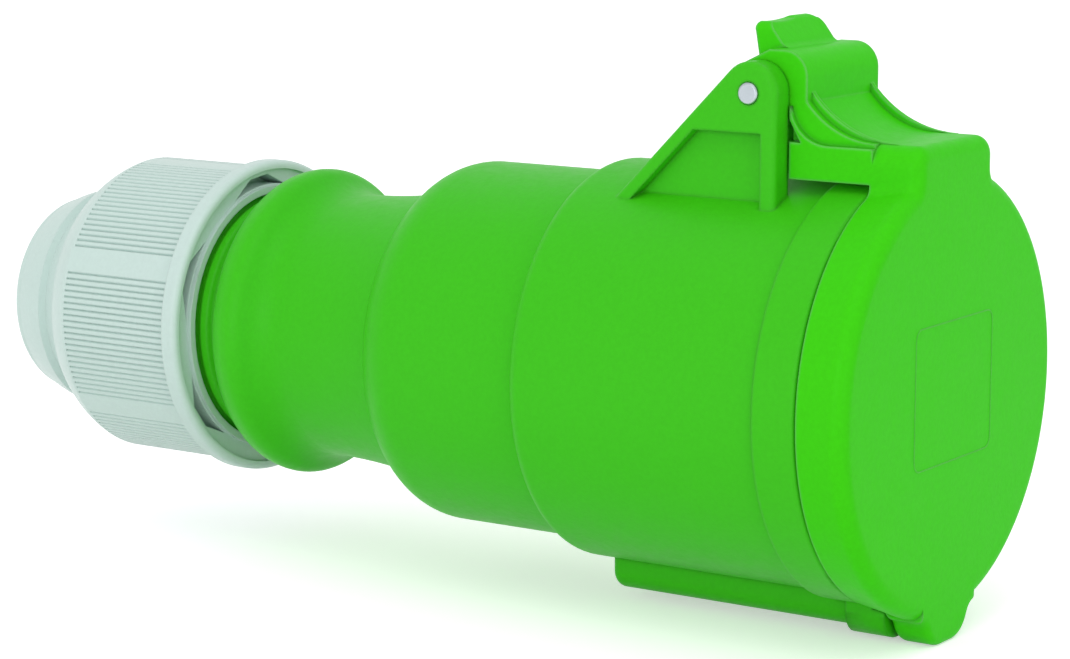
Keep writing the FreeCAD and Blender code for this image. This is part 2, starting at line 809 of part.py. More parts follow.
def is_ear_edge(edge):
    """Whether an edge goes round the outer side of an ear, apart from its window."""
    middle = middle_of(edge)
    outer = all(abs(abs(vertex.Y) - ear_outer.value) < TIGHT for vertex in edge.Vertexes)
    if not outer or abs(abs(middle.y) - ear_outer.value) > TIGHT:
        return False
    normal_x, normal_z = ear_slope()
    from_pin_x = middle.x - pin_x.value - ear_head_offset.value
    from_pin_z = middle.z - pin_z.value
    across_slope = from_pin_z * normal_z.value - from_pin_x * normal_x.value
    on_front = abs(from_pin_x - ear_round.value) < TIGHT
    on_slope = abs(across_slope - ear_round.value) < TIGHT
    on_head = abs(math.hypot(from_pin_x, from_pin_z) - ear_round.value) < TIGHT
    return on_front or on_slope or on_head


def key_tongue_outline():
    """The part of the key box's outline that lies below the lid's skirt."""
    top = lid_radius + key_tongue_gap
    bottom = collar_radius + key_box_height
    corner = key_round + key_box_half_width - key_half_width
    flat = key_box_half_width - corner
    half_width = flat + chord_height(corner, top - bottom + corner)
    return [
        (-half_width, -top),
        (-flat, -bottom, corner, 1),
        (flat, -bottom),
        (half_width, -top, corner, 1),
    ]


def ear_slope():
    """Direction across the ear's back slope, as the parts along and up of its normal."""
    slope = root_of(ear_slope_run * ear_slope_run + ear_slope_rise * ear_slope_rise)
    return ear_slope_rise / slope, ear_slope_run / slope


def ear_outline():
    """Ear seen from the side: upright front post, round head and straight back slope."""
    normal_x, normal_z = ear_slope()
    middle = pin_x + ear_head_offset
    head_x = middle - ear_round * normal_x
    head_z = pin_z + ear_round * normal_z
    foot = cavity_radius - rim_wall
    fall = (head_z - foot) / ear_slope_rise
    return [
        (ear_front, foot),
        (ear_front, pin_z),
        (head_x, head_z, ear_round, 1),
        (head_x - ear_slope_run * fall, foot),
    ]


def ear_window():
    """Recess in the ear's outer side, between the front post, the head and the back strut."""
    normal_x, normal_z = ear_slope()
    inset = ear_round - ear_strut
    edge_x = pin_x + ear_head_offset - inset * normal_x
    edge_z = pin_z + inset * normal_z
    top = pin_z - ear_head
    foot = cavity_radius - rim_wall / 2
    top_fall = (edge_z - top) / ear_slope_rise
    foot_fall = (edge_z - foot) / ear_slope_rise
    front = ear_front - ear_post
    return [
        (front, foot),
        (front, top),
        (edge_x - ear_slope_run * top_fall, top),
        (edge_x - ear_slope_run * foot_fall, foot),
    ]


def lid():
    """Cap with a skirt, a hollow arm with two raised crests, a knuckle, a thumb tab and a key lug."""
    body = new_body("lid")
    turned(body, "cap", [
        (lid_rear, 0),
        (lid_rear, lid_rear_radius),
        (lid_front, lid_radius),
        (lid_front, 0),
    ])
    box_low = chord_height(rim_radius, saddle_half_width)
    outline_between(body, "saddle_box", "YZ_Plane", lid_rear, lid_front, [
        (-saddle_half_width, box_low),
        (saddle_half_width, box_low),
        (saddle_half_width, saddle_top - saddle_round),
        (saddle_half_width - saddle_round, saddle_top, saddle_round, 1),
        (-saddle_half_width + saddle_round, saddle_top),
        (-saddle_half_width, saddle_top - saddle_round, saddle_round, 1),
    ])
    rounded(body, "saddle_corners", saddle_front_round, is_saddle_corner)
    rounded(body, "front_round", lid_front_round, is_lid_front_edge)
    outline_between(body, "key_lug", "YZ_Plane", lid_rear + lug_setback, lid_front, flared_lug())
    rounded(body, "lug_end_round", lug_end_round,
            lambda edge: is_end_edge(edge, lid_rear + lug_setback, lid_radius + lug_height / 2))
    rounded(body, "lug_front_round", lug_front_round,
            lambda edge: is_end_edge(edge, lid_front, lid_radius + lug_height / 2))

    front = pin_x + knuckle_front
    arm_start = ear_front + arm_rear_gap
    round_end = root_of(knuckle_radius * knuckle_radius - knuckle_slope_end * knuckle_slope_end)
    outline_between(body, "knuckle", "XZ_Plane", -knuckle_half, knuckle_half, [
        (arm_start, arm_bottom),
        (front, arm_bottom),
        (front, pin_z + knuckle_height - knuckle_corner),
        (front - knuckle_corner, pin_z + knuckle_height, knuckle_corner, 1),
        (pin_x + knuckle_flat_start, pin_z + knuckle_height),
        (pin_x - round_end, pin_z + knuckle_slope_end),
        (pin_x - knuckle_radius, pin_z, knuckle_radius, 1),
        (pin_x, pin_z - knuckle_radius, knuckle_radius, 1),
    ])
    floor_end = lid_rear + lid_gap
    floor_start = floor_end - floor_run
    outline_between(body, "arm_floor", "XZ_Plane", -knuckle_half, knuckle_half, [
        (floor_end, arm_bottom),
        (floor_end, saddle_top),
        (floor_start, saddle_top + floor_rise, swept_radius(floor_run, floor_rise), -1),
        (pin_x + knuckle_radius, pin_z),
        (arm_start, arm_bottom),
    ])
    crest_end = lid_rear + crest_overlap
    crest = outline_between(body, "crest", "XZ_Plane", crest_half_width - crest_width,
                            crest_half_width, [
        (crest_end, rim_top - crest_overlap),
        (crest_end, saddle_top),
        (crest_end - crest_run, saddle_top + crest_rise, swept_radius(crest_run, crest_rise), -1),
        (pin_x + pin_radius, pin_z),
    ])
    rim_arc = swept_radius(rim_run, rim_rise)
    arm_side = outline_between(body, "arm_side", "XZ_Plane", knuckle_half - arm_wall,
                               saddle_half_width, [
        (lid_rear + lid_gap, arm_bottom),
        (lid_rear + lid_gap, rim_top),
        (arm_start + rim_run, rim_top),
        (arm_start, rim_top + rim_rise, rim_arc, -1),
        (arm_start, arm_bottom),
    ])
    mirrored(body, "far_side", [crest, arm_side])
    notch_low = rim_top + notch_floor
    outline_between(body, "side_notch", "XZ_Plane", -saddle_half_width - 1, saddle_half_width + 1, [
        (arm_start - 1, notch_low),
        (arm_start + notch_run, notch_low),
        (arm_start, notch_low + notch_rise),
        (arm_start - 1, notch_low + notch_rise),
    ], cut=True)
    thumb_tab(body)

    cap_roof = lid_front - lid_wall
    turned(body, "cap_hollow", [
        (lid_rear - 1, 0),
        (lid_rear - 1, lid_skirt_inner_radius),
        (cap_roof, lid_skirt_inner_radius),
        (cap_roof, 0),
    ], cut=True)
    outline_between(body, "lug_hollow", "YZ_Plane", lid_rear - 1, cap_roof,
                    rounded_channel(lug_half_width - lug_wall, rim_radius - rim_wall,
                                    lid_radius + lug_height - lug_wall, lug_round - lug_wall),
                    cut=True)
    inner_half = knuckle_half - arm_wall
    hollow_top = saddle_top - arm_roof
    hollow_low = arm_bottom - arm_wall
    under_knuckle = pin_z - spring_pocket_radius
    behind = pin_x - knuckle_radius - 1
    outline_between(body, "arm_hollow", "XZ_Plane", -inner_half, inner_half, [
        (behind, hollow_low),
        (lid_rear, hollow_low),
        (lid_rear, hollow_top),
        (front, hollow_top),
        (ear_front, under_knuckle - spring_room),
        (behind, under_knuckle - spring_room),
    ], cut=True)
    spring_half = spring_half_length + spring_room
    between(body, "spring_room_cut", "XZ_Plane", -spring_half, spring_half, spring_room_outline, cut=True)
    circle_between(body, "knuckle_bore", "XZ_Plane", -knuckle_half - 1, knuckle_half + 1,
                   pin_x, pin_z, pin_radius + pin_play * 2, cut=True)
    return body


def is_saddle_corner(edge):
    """Whether an edge is the inner corner between the saddle's side and the cap."""
    middle = middle_of(edge)
    on_side = abs(abs(middle.y) - saddle_half_width.value) < TIGHT
    length = abs(edge.Vertexes[0].X - edge.Vertexes[-1].X)
    on_cap = math.hypot(middle.y, middle.z) < lid_radius.value + TIGHT
    return on_side and middle.z > 0 and length > lid_depth.value - 1 and on_cap


def is_lid_front_edge(edge):
    """Whether an edge goes round the lid's front face."""
    middle = middle_of(edge)
    flat = all(abs(vertex.X - lid_front.value) < TIGHT for vertex in edge.Vertexes)
    outer = math.hypot(middle.y, middle.z) > lid_radius.value - TIGHT
    return flat and abs(middle.x - lid_front.value) < TIGHT and outer


def flared_lug():
    """Outline of the key lug: a rounded bar whose foot flares into the skirt."""
    bottom = lid_radius + lug_height
    corner_across = lug_half_width - lug_round
    corner_down = bottom - lug_round
    reach = lid_radius + lug_flare
    both = lug_round + lug_flare
    apart = root_of(corner_across * corner_across + corner_down * corner_down)
    along = (reach * reach - both * both + apart * apart) / (2 * apart)
    aside = root_of(reach * reach - along * along)
    flare_across = (corner_across * along + corner_down * aside) / apart
    flare_down = (corner_down * along - corner_across * aside) / apart
    share = lug_round / both
    meet_across = corner_across + (flare_across - corner_across) * share
    meet_down = corner_down + (flare_down - corner_down) * share
    foot_across = flare_across * lid_radius / reach
    foot_down = flare_down * lid_radius / reach
    return [
        (-foot_across, -rim_radius),
        (-foot_across, -foot_down),
        (-meet_across, -meet_down, lug_flare, -1),
        (-corner_across, -bottom, lug_round, 1),
        (corner_across, -bottom),
        (meet_across, -meet_down, lug_round, 1),
        (foot_across, -foot_down, lug_flare, -1),
        (foot_across, -rim_radius),
    ]


def thumb_tab(body):
    """Wedge on the knuckle that a thumb pushes, with a wavy top."""
    outline_between(body, "tab_wedge", "XZ_Plane", -tab_half_width, tab_half_width, [
        (pin_x + tab_front_foot, pin_z + pin_radius * 2),
        (pin_x + tab_front_foot, pin_z + knuckle_height),
        (pin_x + tab_bend_across, pin_z + tab_bend_height, tab_bend_round, -1),
        (pin_x - tab_tip_across, pin_z + tab_tip_height),
        (pin_x - tab_back_across, pin_z + tab_back_height, tab_tip_round, 1),
        (pin_x - tab_rear_foot, pin_z + pin_radius * 2),
    ])
    high = pin_z + tab_tip_height + tab_tip_round * 2
    left = pin_z + tab_left_height
    right = pin_z + tab_right_height
    outline_between(body, "tab_top", "YZ_Plane", pin_x - knuckle_radius, pin_x + knuckle_radius, [
        (-tab_half_width - 1, high),
        (-tab_half_width - 1, left - tab_corner),
        (-tab_half_width, left - tab_corner),
        (-tab_half_width + tab_corner, left, tab_corner, -1),
        (0, pin_z + tab_middle_height, tab_dip_round, 1),
        (tab_half_width - tab_corner, right, tab_crown_round, -1),
        (tab_half_width, right - tab_corner, tab_corner, -1),
        (tab_half_width + 1, right - tab_corner),
        (tab_half_width + 1, high),
    ], cut=True)


def spring_room_outline(sketch):
    """Room for the spring coil, open downwards and to the rear for its fixed leg."""
    radius = spring_pocket_radius
    low = pin_z - knuckle_radius - 1
    back = pin_x - knuckle_radius - 1
    add_outline(sketch, [
        (back, low),
        (pin_x + radius, low),
        (pin_x + radius, pin_z),
        (pin_x, pin_z + radius, radius, 1),
        (pin_x - radius, pin_z, radius, 1),
        (back, pin_z + spring_leg_rise),
    ])


def lid_seal():
    """Soft ring in the lid, facing the housing's rim."""
    body = new_body("lid_seal")
    roof = lid_front - lid_wall
    outer = lid_skirt_inner_radius - lid_gap / 2
    seal_inner_radius = rim_radius - seal_lip
    turned(body, "seal_ring", [
        (rim_end + seal_gap, seal_inner_radius + lid_gap),
        (rim_end + seal_gap, outer),
        (roof, outer),
        (roof, seal_inner_radius),
    ])
    return body


def hinge_pin():
    """Steel pin through both ears and the knuckle."""
    body = new_body("hinge_pin")
    end = ear_outer + pin_stand_out
    circle_between(body, "pin_rod", "XZ_Plane", -end, end, pin_x, pin_z, pin_radius)
    rounded(body, "pin_ends", pin_stand_out, lambda edge: isinstance(edge.Curve, Part.Circle))
    return body


def lid_spring():
    """Torsion spring on the pin, with one leg under the arm's roof and one on the housing."""
    wire = spring_wire_radius.value
    coil_radius = spring_coil_radius.value
    half = spring_half_length.value - wire
    turns = spring_full_turns.value + SPRING_PART_TURN / FULL_TURN
    coil = Part.makeHelix(2 * half / turns, 2 * half, coil_radius)
    coil.rotate(Vector(0, 0, 0), Vector(1, 0, 0), -FOURTH_TURN)
    coil.rotate(Vector(0, 0, 0), Vector(0, 1, 0), -SPRING_PART_TURN)
    coil.translate(Vector(pin_x.value, -half, pin_z.value))
    line = coil.Edges[0]
    start = line.valueAt(line.FirstParameter)
    end = line.valueAt(line.LastParameter)
    profile = Part.Wire([Part.makeCircle(wire, start, line.tangentAt(line.FirstParameter))])
    shape = Part.Wire([line]).makePipeShell([profile], True, True)

    roof = (saddle_top - arm_roof).value - wire - SPRING_TOUCH
    fall = start.z - roof
    knee = Vector(start.x + fall, start.y, roof)
    arm_end = Vector(lid_rear.value - spring_leg_gap.value, start.y, roof)
    foot = chord_height(housing_radius, spring_half_length).value + SPRING_TOUCH
    shape = shape.fuse([
        Part.makeSphere(wire, start),
        Part.makeCylinder(wire, (knee - start).Length, start, knee - start),
        Part.makeSphere(wire, knee),
        Part.makeCylinder(wire, arm_end.x - knee.x, knee, Vector(1, 0, 0)),
        Part.makeSphere(wire, end),
        Part.makeCylinder(wire, end.z - foot, end, Vector(0, 0, -1)),
    ])
    spring = doc.addObject("Part::Feature", "lid_spring")
    spring.Label = "lid_spring"
    spring.Shape = shape
    return spring


def place_round(radius, angle):
    """Across and up of a place round the axis, by its angle above the +Y side."""
    turn = math.radians(angle)
    return radius * math.cos(turn), radius * math.sin(turn)


def contact_place(kind):
    """Across and up of one contact's axis."""
    return place_round(contact_circle_radius, contact_angles[kind])


def contact_radii(kind):
    """Bore and sleeve radius of one contact."""
    if kind == "earth":
        return earth_bore_radius, earth_sleeve_radius
    return phase_bore_radius, phase_sleeve_radius


def contact_chamber(kind, label):
    """One third of the insulating insert, with the chamber in which a sleeve can centre."""
    body = new_body(label)
    turned(body, "insert_form", [
        (insert_start, 0),
        (insert_start, insert_radius),
        (insert_face - insert_front_bevel, insert_radius),
        (insert_face, insert_radius - insert_front_bevel),
        (insert_face, 0),
    ])
    first = contact_angles[kind] + FULL_TURN / 6
    corners = [place_round(insert_radius * 2, first + step * FULL_TURN / 6) for step in range(5)]
    outline_between(body, "other_thirds", "YZ_Plane", insert_start - 1, insert_face + 1,
                    [(0, 0)] + corners, cut=True)
    across, up = contact_place(kind)
    bore, sleeve = contact_radii(kind)
    circle_between(body, "entry", "YZ_Plane", insert_start - 1, insert_face + 1,
                   across, up, bore + entry_margin, cut=True)
    circle_between(body, "chamber", "YZ_Plane", insert_start - 1,
                   insert_face - sleeve_front_gap + insert_play, across, up,
                   sleeve + sleeve_collar + insert_play, cut=True)
    return body


def terminal_cover():
    """Disc behind the insert that holds the sleeves in, with a rim that centres the insert."""
    body = new_body("terminal_cover")
    outer = grip_radius - grip_wall - insert_play * 2
    cover_end = insert_start - cover_gap

    def draw(sketch):
        add_circle(sketch, 0, 0, outer)
        for kind in contact_angles:
            across, up = contact_place(kind)
            sleeve = contact_radii(kind)[1]
            add_circle(sketch, across, up, sleeve + insert_play)

    def draw_rim(sketch):
        add_circle(sketch, 0, 0, outer)
        add_circle(sketch, 0, 0, insert_radius + insert_play)

    between(body, "cover_disc", "YZ_Plane", cover_end - cover_thickness, cover_end, draw)
    between(body, "cover_rim", "YZ_Plane", cover_end - cover_gap,
            insert_start + insert_rim_length, draw_rim)
    return body


def contact_sleeve(kind, label):
    """Brass sleeve, slotted at the front, with a collar and a wire terminal at the rear."""
    body = new_body(label)
    across, up = contact_place(kind)
    bore, sleeve = contact_radii(kind)
    front = insert_face - sleeve_front_gap
    rear = insert_start - cover_gap - cover_thickness - terminal_length
    circle_between(body, "sleeve_rod", "YZ_Plane", rear, front, across, up, sleeve)
    circle_between(body, "sleeve_collar_ring", "YZ_Plane", insert_start,
                   insert_start + sleeve_collar_length, across, up, sleeve + sleeve_collar)
    circle_between(body, "pin_bore", "YZ_Plane", front - sleeve_bore_length, front + 1,
                   across, up, bore, cut=True)
    half_slot = sleeve_slot_width / 2
    outer = sleeve + sleeve_collar + 1

    def cross(sketch):
        add_outline(sketch, [
            (across - half_slot, up - outer), (across + half_slot, up - outer),
            (across + half_slot, up - half_slot), (across + outer, up - half_slot),
            (across + outer, up + half_slot), (across + half_slot, up + half_slot),
            (across + half_slot, up + outer), (across - half_slot, up + outer),
            (across - half_slot, up + half_slot), (across - outer, up + half_slot),
            (across - outer, up - half_slot), (across - half_slot, up - half_slot),
        ])

    between(body, "spring_slots", "YZ_Plane", front - sleeve_slot_length, front + 1, cross, cut=True)
    circle_between(body, "wire_hole", "YZ_Plane", rear - 1, rear + wire_hole_depth,
                   across, up, wire_hole_radius, cut=True)
    return drilled_for_screw(body, kind, label)


def screw_frame(kind):
    """Base point and outward direction of one terminal screw."""
    across, up = contact_place(kind)
    rear = insert_start - cover_gap - cover_thickness - terminal_length
    angle = math.radians(contact_angles[kind])
    outward = Vector(0, math.cos(angle), math.sin(angle))
    base = Vector((rear + screw_setback).value, across.value, up.value)
    return base, outward


def drilled_for_screw(sleeve, kind, label):
    """The sleeve with a cross hole for its terminal screw."""
    base, outward = screw_frame(kind)
    drill = doc.addObject("Part::Cylinder", label + "_cross_hole")
    bind(drill, "Radius", screw_radius + pin_play)
    bind(drill, "Height", earth_sleeve_radius + 3)
    drill.Placement = FreeCAD.Placement(base, FreeCAD.Rotation(Vector(0, 0, 1), outward))
    sleeve.Label = label + "_blank"
    cut = doc.addObject("Part::Cut", label + "_drilled")
    cut.Base = sleeve
    cut.Tool = drill
    cut.Label = label
    return cut


def terminal_screw(kind, label):
    """Slotted grub screw that clamps the wire in its terminal."""
    base, outward = screw_frame(kind)
    rod = doc.addObject("Part::Cylinder", label + "_rod")
    bind(rod, "Radius", screw_radius)
    bind(rod, "Height", screw_length)
    slot = doc.addObject("Part::Box", label + "_slot")
    bind(slot, "Length", screw_slot)
    bind(slot, "Width", screw_radius * 2 + 2)
    bind(slot, "Height", screw_slot * 2)
    slot.setExpression(".Placement.Base.x", "(-(%s))" % (screw_slot / 2).text)
    slot.setExpression(".Placement.Base.y", "(-(%s))" % (screw_radius + 1).text)
    slot.setExpression(".Placement.Base.z", (screw_length - screw_slot).text)
    screw = doc.addObject("Part::Cut", label)
    screw.Base = rod
    screw.Tool = slot
    screw.Label = label
    start = base + outward * (wire_hole_radius.value * 0.4)
    screw.Placement = FreeCAD.Placement(start, FreeCAD.Rotation(Vector(0, 0, 1), outward))
    return screw


def spring_ring(kind, label):
    """Split steel ring that presses the slotted end of a sleeve together."""
    body = new_body(label)
    across, up = contact_place(kind)
    sleeve = contact_radii(kind)[1]
    front = insert_face - sleeve_front_gap - ring_setback
    outer = sleeve + ring_thickness

    def draw(sketch):
        add_circle(sketch, across, up, outer)
        add_circle(sketch, across, up, sleeve + 0.02)

    between(body, "ring_band", "YZ_Plane", front - ring_width, front, draw)
    half = ring_opening / 2
    outline_between(body, "ring_split", "YZ_Plane", front - ring_width - 1, front + 1, [
        (across - half, up),
        (across + half, up),
        (across + half, up + outer + 1),
        (across - half, up + outer + 1),
    ], cut=True)
    return body


def body_seal():
    """Ring in the shell's groove that seals the two halves of the body."""
    ring = doc.addObject("Part::Torus", "body_seal")
    ring.Label = "body_seal"
    half = body_seal_thickness / 2
    bind(ring, "Radius1", cavity_floor() - half)
    bind(ring, "Radius2", half)
    ring.Placement = FreeCAD.Placement(Vector(body_seal_x.value, 0, 0),
                                       FreeCAD.Rotation(Vector(0, 1, 0), FOURTH_TURN))
    ring.setExpression(".Placement.Base.x", body_seal_x.text)
    return ring


def housing_lock():
    """Key block that stops the housing from turning on the rear shell."""
    block = doc.addObject("Part::Box", "housing_lock")
    block.Label = "housing_lock"
    bind(block, "Length", lock_length)
    bind(block, "Width", lock_width)
    bind(block, "Height", lock_height)
    block.setExpression(".Placement.Base.x", (shell_end - lock_length).text)
    block.setExpression(".Placement.Base.y", (-lock_width / 2).text)
    block.setExpression(".Placement.Base.z", (grip_radius - grip_wall).text)
    return block


def clamp_cage():
    """Flanged ring with tapered fingers round the cable seal."""
    body = new_body("clamp_cage")
    flange_end = neck_start - cage_play
    flange_start = flange_end - cage_flange_length
    turned(body, "cage_form", [
        (neck_start + cage_spigot_length, cage_bore_radius),
        (neck_start + cage_spigot_length, neck_bore_radius - cage_play),
        (flange_end, neck_bore_radius - cage_play),
        (flange_end, neck_radius - thread_clearance),
        (flange_start, neck_radius - thread_clearance),
        (flange_start, cage_root_radius),
        (cage_tip, cage_tip_radius),
        (cage_tip, cage_bore_radius),
    ])
    half = cage_slot_width / 2
    slot = outline_between(body, "finger_slot", "YZ_Plane", cage_tip - 1, flange_start - 1, [
        (-half, cage_bore_radius - 2),
        (half, cage_bore_radius - 2),
        (half, neck_radius),
        (-half, neck_radius),
    ], cut=True)
    repeated(body, "finger_slots", [slot], cage_slots)
    return body


def cable_seal():
    """Rubber sleeve that the cage presses on the cable."""
    body = new_body("cable_seal")
    turned(body, "seal_sleeve", [
        (cage_tip, cable_bore_radius),
        (cage_tip, cable_seal_radius),
        (cage_tip + cable_seal_length, cable_seal_radius),
        (cage_tip + cable_seal_length, cable_bore_radius),
    ])
    return body


def thrust_ring():
    """Ring in the nut that slides without turning and pushes on the fingers."""
    body = new_body("thrust_ring")
    start = nut_entry_wall + thrust_gap
    turned(body, "ring_form", [
        (start, thrust_inner_radius),
        (start, nut_cavity_radius - thrust_gap),
        (start + thrust_thickness, nut_cavity_radius - thrust_gap),
        (start + thrust_thickness, thrust_inner_radius),
    ])
    return body


def write_pieces(pieces):
    """Check every object and write each piece to its own file."""
    doc.recompute()
    for item in doc.Objects:
        if "Invalid" in item.State or "Error" in item.State:
            raise RuntimeError("%s failed: %s" % (item.Label, item.State))
    os.makedirs("parts", exist_ok=True)
    for piece in pieces:
        shape = piece.Shape
        if shape.isNull() or not shape.isValid() or not shape.Solids:
            raise RuntimeError("no valid solid for " + piece.Label)
        shape.exportStep("parts/%s.step" % piece.Label)
        print(piece.Label, len(shape.Solids), round(shape.Volume, 1))


pieces = [union_nut(), rear_shell(), front_housing(), lid(), lid_seal(), hinge_pin(), lid_spring()]
pieces.append(terminal_cover())
for kind in contact_angles:
    pieces.append(contact_chamber(kind, kind + "_chamber"))
    pieces.append(contact_sleeve(kind, kind + "_sleeve"))
    pieces.append(spring_ring(kind, kind + "_spring_ring"))
    pieces.append(terminal_screw(kind, kind + "_terminal_screw"))
pieces += [body_seal(), housing_lock(), clamp_cage(), cable_seal(), thrust_ring()]
write_pieces(pieces)
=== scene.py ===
import math

import bmesh
import bpy
from mathutils import Euler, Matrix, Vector


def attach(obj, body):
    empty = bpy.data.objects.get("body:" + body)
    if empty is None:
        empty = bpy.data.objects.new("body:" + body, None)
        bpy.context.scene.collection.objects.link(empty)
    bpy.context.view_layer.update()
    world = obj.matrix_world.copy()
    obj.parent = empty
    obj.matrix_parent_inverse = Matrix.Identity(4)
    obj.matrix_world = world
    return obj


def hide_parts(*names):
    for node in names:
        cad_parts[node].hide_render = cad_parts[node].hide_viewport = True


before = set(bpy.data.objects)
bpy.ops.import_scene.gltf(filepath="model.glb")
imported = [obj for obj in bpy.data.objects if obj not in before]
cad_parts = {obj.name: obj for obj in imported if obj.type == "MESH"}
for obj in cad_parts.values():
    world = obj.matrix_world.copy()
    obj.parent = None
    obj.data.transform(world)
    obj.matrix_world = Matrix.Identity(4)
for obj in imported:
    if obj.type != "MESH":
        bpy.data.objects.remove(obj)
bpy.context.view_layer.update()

# Places that repeat the part's own sizes, in metres
PIN = Vector((0.1324, 0.0, 0.0403))
LID_FRONT = 0.1565
FLOOR_Z = -0.0341

# Lid spring: coil on the pin, one leg on the housing and one under the lid's arm
SPRING_WIRE = 0.00045
SPRING_COIL = 0.0025
SPRING_HALF = 0.00255
SPRING_TURNS = 3.625
SPRING_START = 225.0
SPRING_FOOT_Z = 0.0284
SPRING_ROOF_Z = 0.0307
SPRING_TIP_X = 0.144
SPRING_STEPS = 116
LID_OPENING = 110.0

# Skin of the key box: how far it stands proud, then the box's outline (height of the round's
# centre below the axis, its radius and half the flat), and stations with the roof's radius
SKIN_PROUD = 0.00004
SKIN_CENTRE = 0.0300
SKIN_ROUND = 0.0034
SKIN_FLAT = 0.0036
SKIN_STATIONS = ((0.14446, 0.0289), (0.1485, 0.0289), (0.14855, 0.02995), (0.1490, 0.02995),
                 (0.15044, 0.0302))

# Border of the label field: corners across and up, corner radius, width, height and sunk foot
LABEL_LOW = (-0.0110, -0.0087)
LABEL_HIGH = (0.0110, 0.0102)
LABEL_CORNER = 0.0014
LABEL_WIDTH = 0.0002
LABEL_LIFT = 0.00009
LABEL_SUNK = 0.0001

# How deep an inner corner reaches before it counts as open surface, which sets where painted shade goes
# into the inner corners
HOLLOW_REACH = 0.0009

# Camera that was fitted to the photograph
CAMERA_PLACE = (0.3465, -0.3792, 0.0812)
CAMERA_TURN = (math.radians(90 - 9.75), 0.0, math.radians(34.2))
CAMERA_LENS = 107.66


def linear(red, green, blue):
    """Scene colour of an 8-bit screen colour."""
    channels = []
    for value in (red, green, blue):
        share = value / 255
        channels.append(share / 12.92 if share <= 0.04045 else ((share + 0.055) / 1.055) ** 2.4)
    return (*channels, 1.0)


def shade(colour, factor):
    """The colour made darker or lighter."""
    return (*(min(1.0, channel * factor) for channel in colour[:3]), 1.0)


def new_node(tree, kind, **inputs):
    """Add a shader node and fill its named inputs."""
    node = tree.nodes.new(kind)
    for name, value in inputs.items():
        node.inputs[name.replace("_", " ")].default_value = value
    return node


def noise(tree, place, scale, detail=3.0, roughness=0.5):
    """Noise over the object's own coordinates."""
    node = new_node(tree, "ShaderNodeTexNoise", Scale=scale, Detail=detail, Roughness=roughness)
    tree.links.new(place.outputs["Object"], node.inputs["Vector"])
    return node


def ramp(tree, source, low, high, start=0.0, end=1.0):
    """Clamped map of a value from low..high to start..end."""
    node = tree.nodes.new("ShaderNodeMapRange")
    node.inputs["From Min"].default_value = low
    node.inputs["From Max"].default_value = high
    node.inputs["To Min"].default_value = start
    node.inputs["To Max"].default_value = end
    tree.links.new(source, node.inputs["Value"])
    return node.outputs["Result"]


def blend_colour(tree, factor, first, second):
    """Mix of two colours, where each is a socket or a plain colour."""
    mix = tree.nodes.new("ShaderNodeMix")
    mix.data_type = "RGBA"
    tree.links.new(factor, mix.inputs["Factor"])
    for name, source in (("A", first), ("B", second)):
        if isinstance(source, tuple):
            mix.inputs[name].default_value = source
        else:
            tree.links.new(source, mix.inputs[name])
    return mix.outputs["Result"]


def spread(tree, source, low, high):
    """Map the middle of a noise value to a narrow range of numbers."""
    return ramp(tree, source, 0.3, 0.7, low, high)


def any_of(tree, first, *others):
    """One where any of the given switches is one."""
    result = first
    for other in others:
        node = tree.nodes.new("ShaderNodeMath")
        node.operation = "MAXIMUM"
        tree.links.new(result, node.inputs[0])
        tree.links.new(other, node.inputs[1])
        result = node.outputs["Value"]
    return result


def blank_material(name):
    """A material with a plain Principled shader and an Object coordinate node."""
    material = bpy.data.materials.new(name)
    material.use_nodes = True
    tree = material.node_tree
    shader = tree.nodes["Principled BSDF"]
    place = tree.nodes.new("ShaderNodeTexCoord")
    return material, tree, shader, place


def mottle(tree, place, shader, colour, amount, scale):
    """Slightly uneven base colour."""
    cloud = noise(tree, place, scale, detail=4.0)
    patches = blend_colour(tree, spread(tree, cloud.outputs["Fac"], 0.0, 1.0),
                           shade(colour, 1 - amount), shade(colour, 1 + amount))
    tree.links.new(patches, shader.inputs["Base Color"])


def grain(tree, place, shader, scale, depth, corner=None):
    """Fine surface relief, over rounded corners if a corner normal is given."""
    fine = noise(tree, place, scale, detail=2.0)
    bump = new_node(tree, "ShaderNodeBump", Strength=0.6, Distance=depth)
    tree.links.new(fine.outputs["Fac"], bump.inputs["Height"])
    if corner:
        tree.links.new(corner, bump.inputs["Normal"])
    tree.links.new(bump.outputs["Normal"], shader.inputs["Normal"])


def rounded_corner(tree, radius):
    """Surface normal that turns softly over every sharp edge."""
    bevel = tree.nodes.new("ShaderNodeBevel")
    bevel.samples = 6
    bevel.inputs["Radius"].default_value = radius
    return bevel.outputs["Normal"]


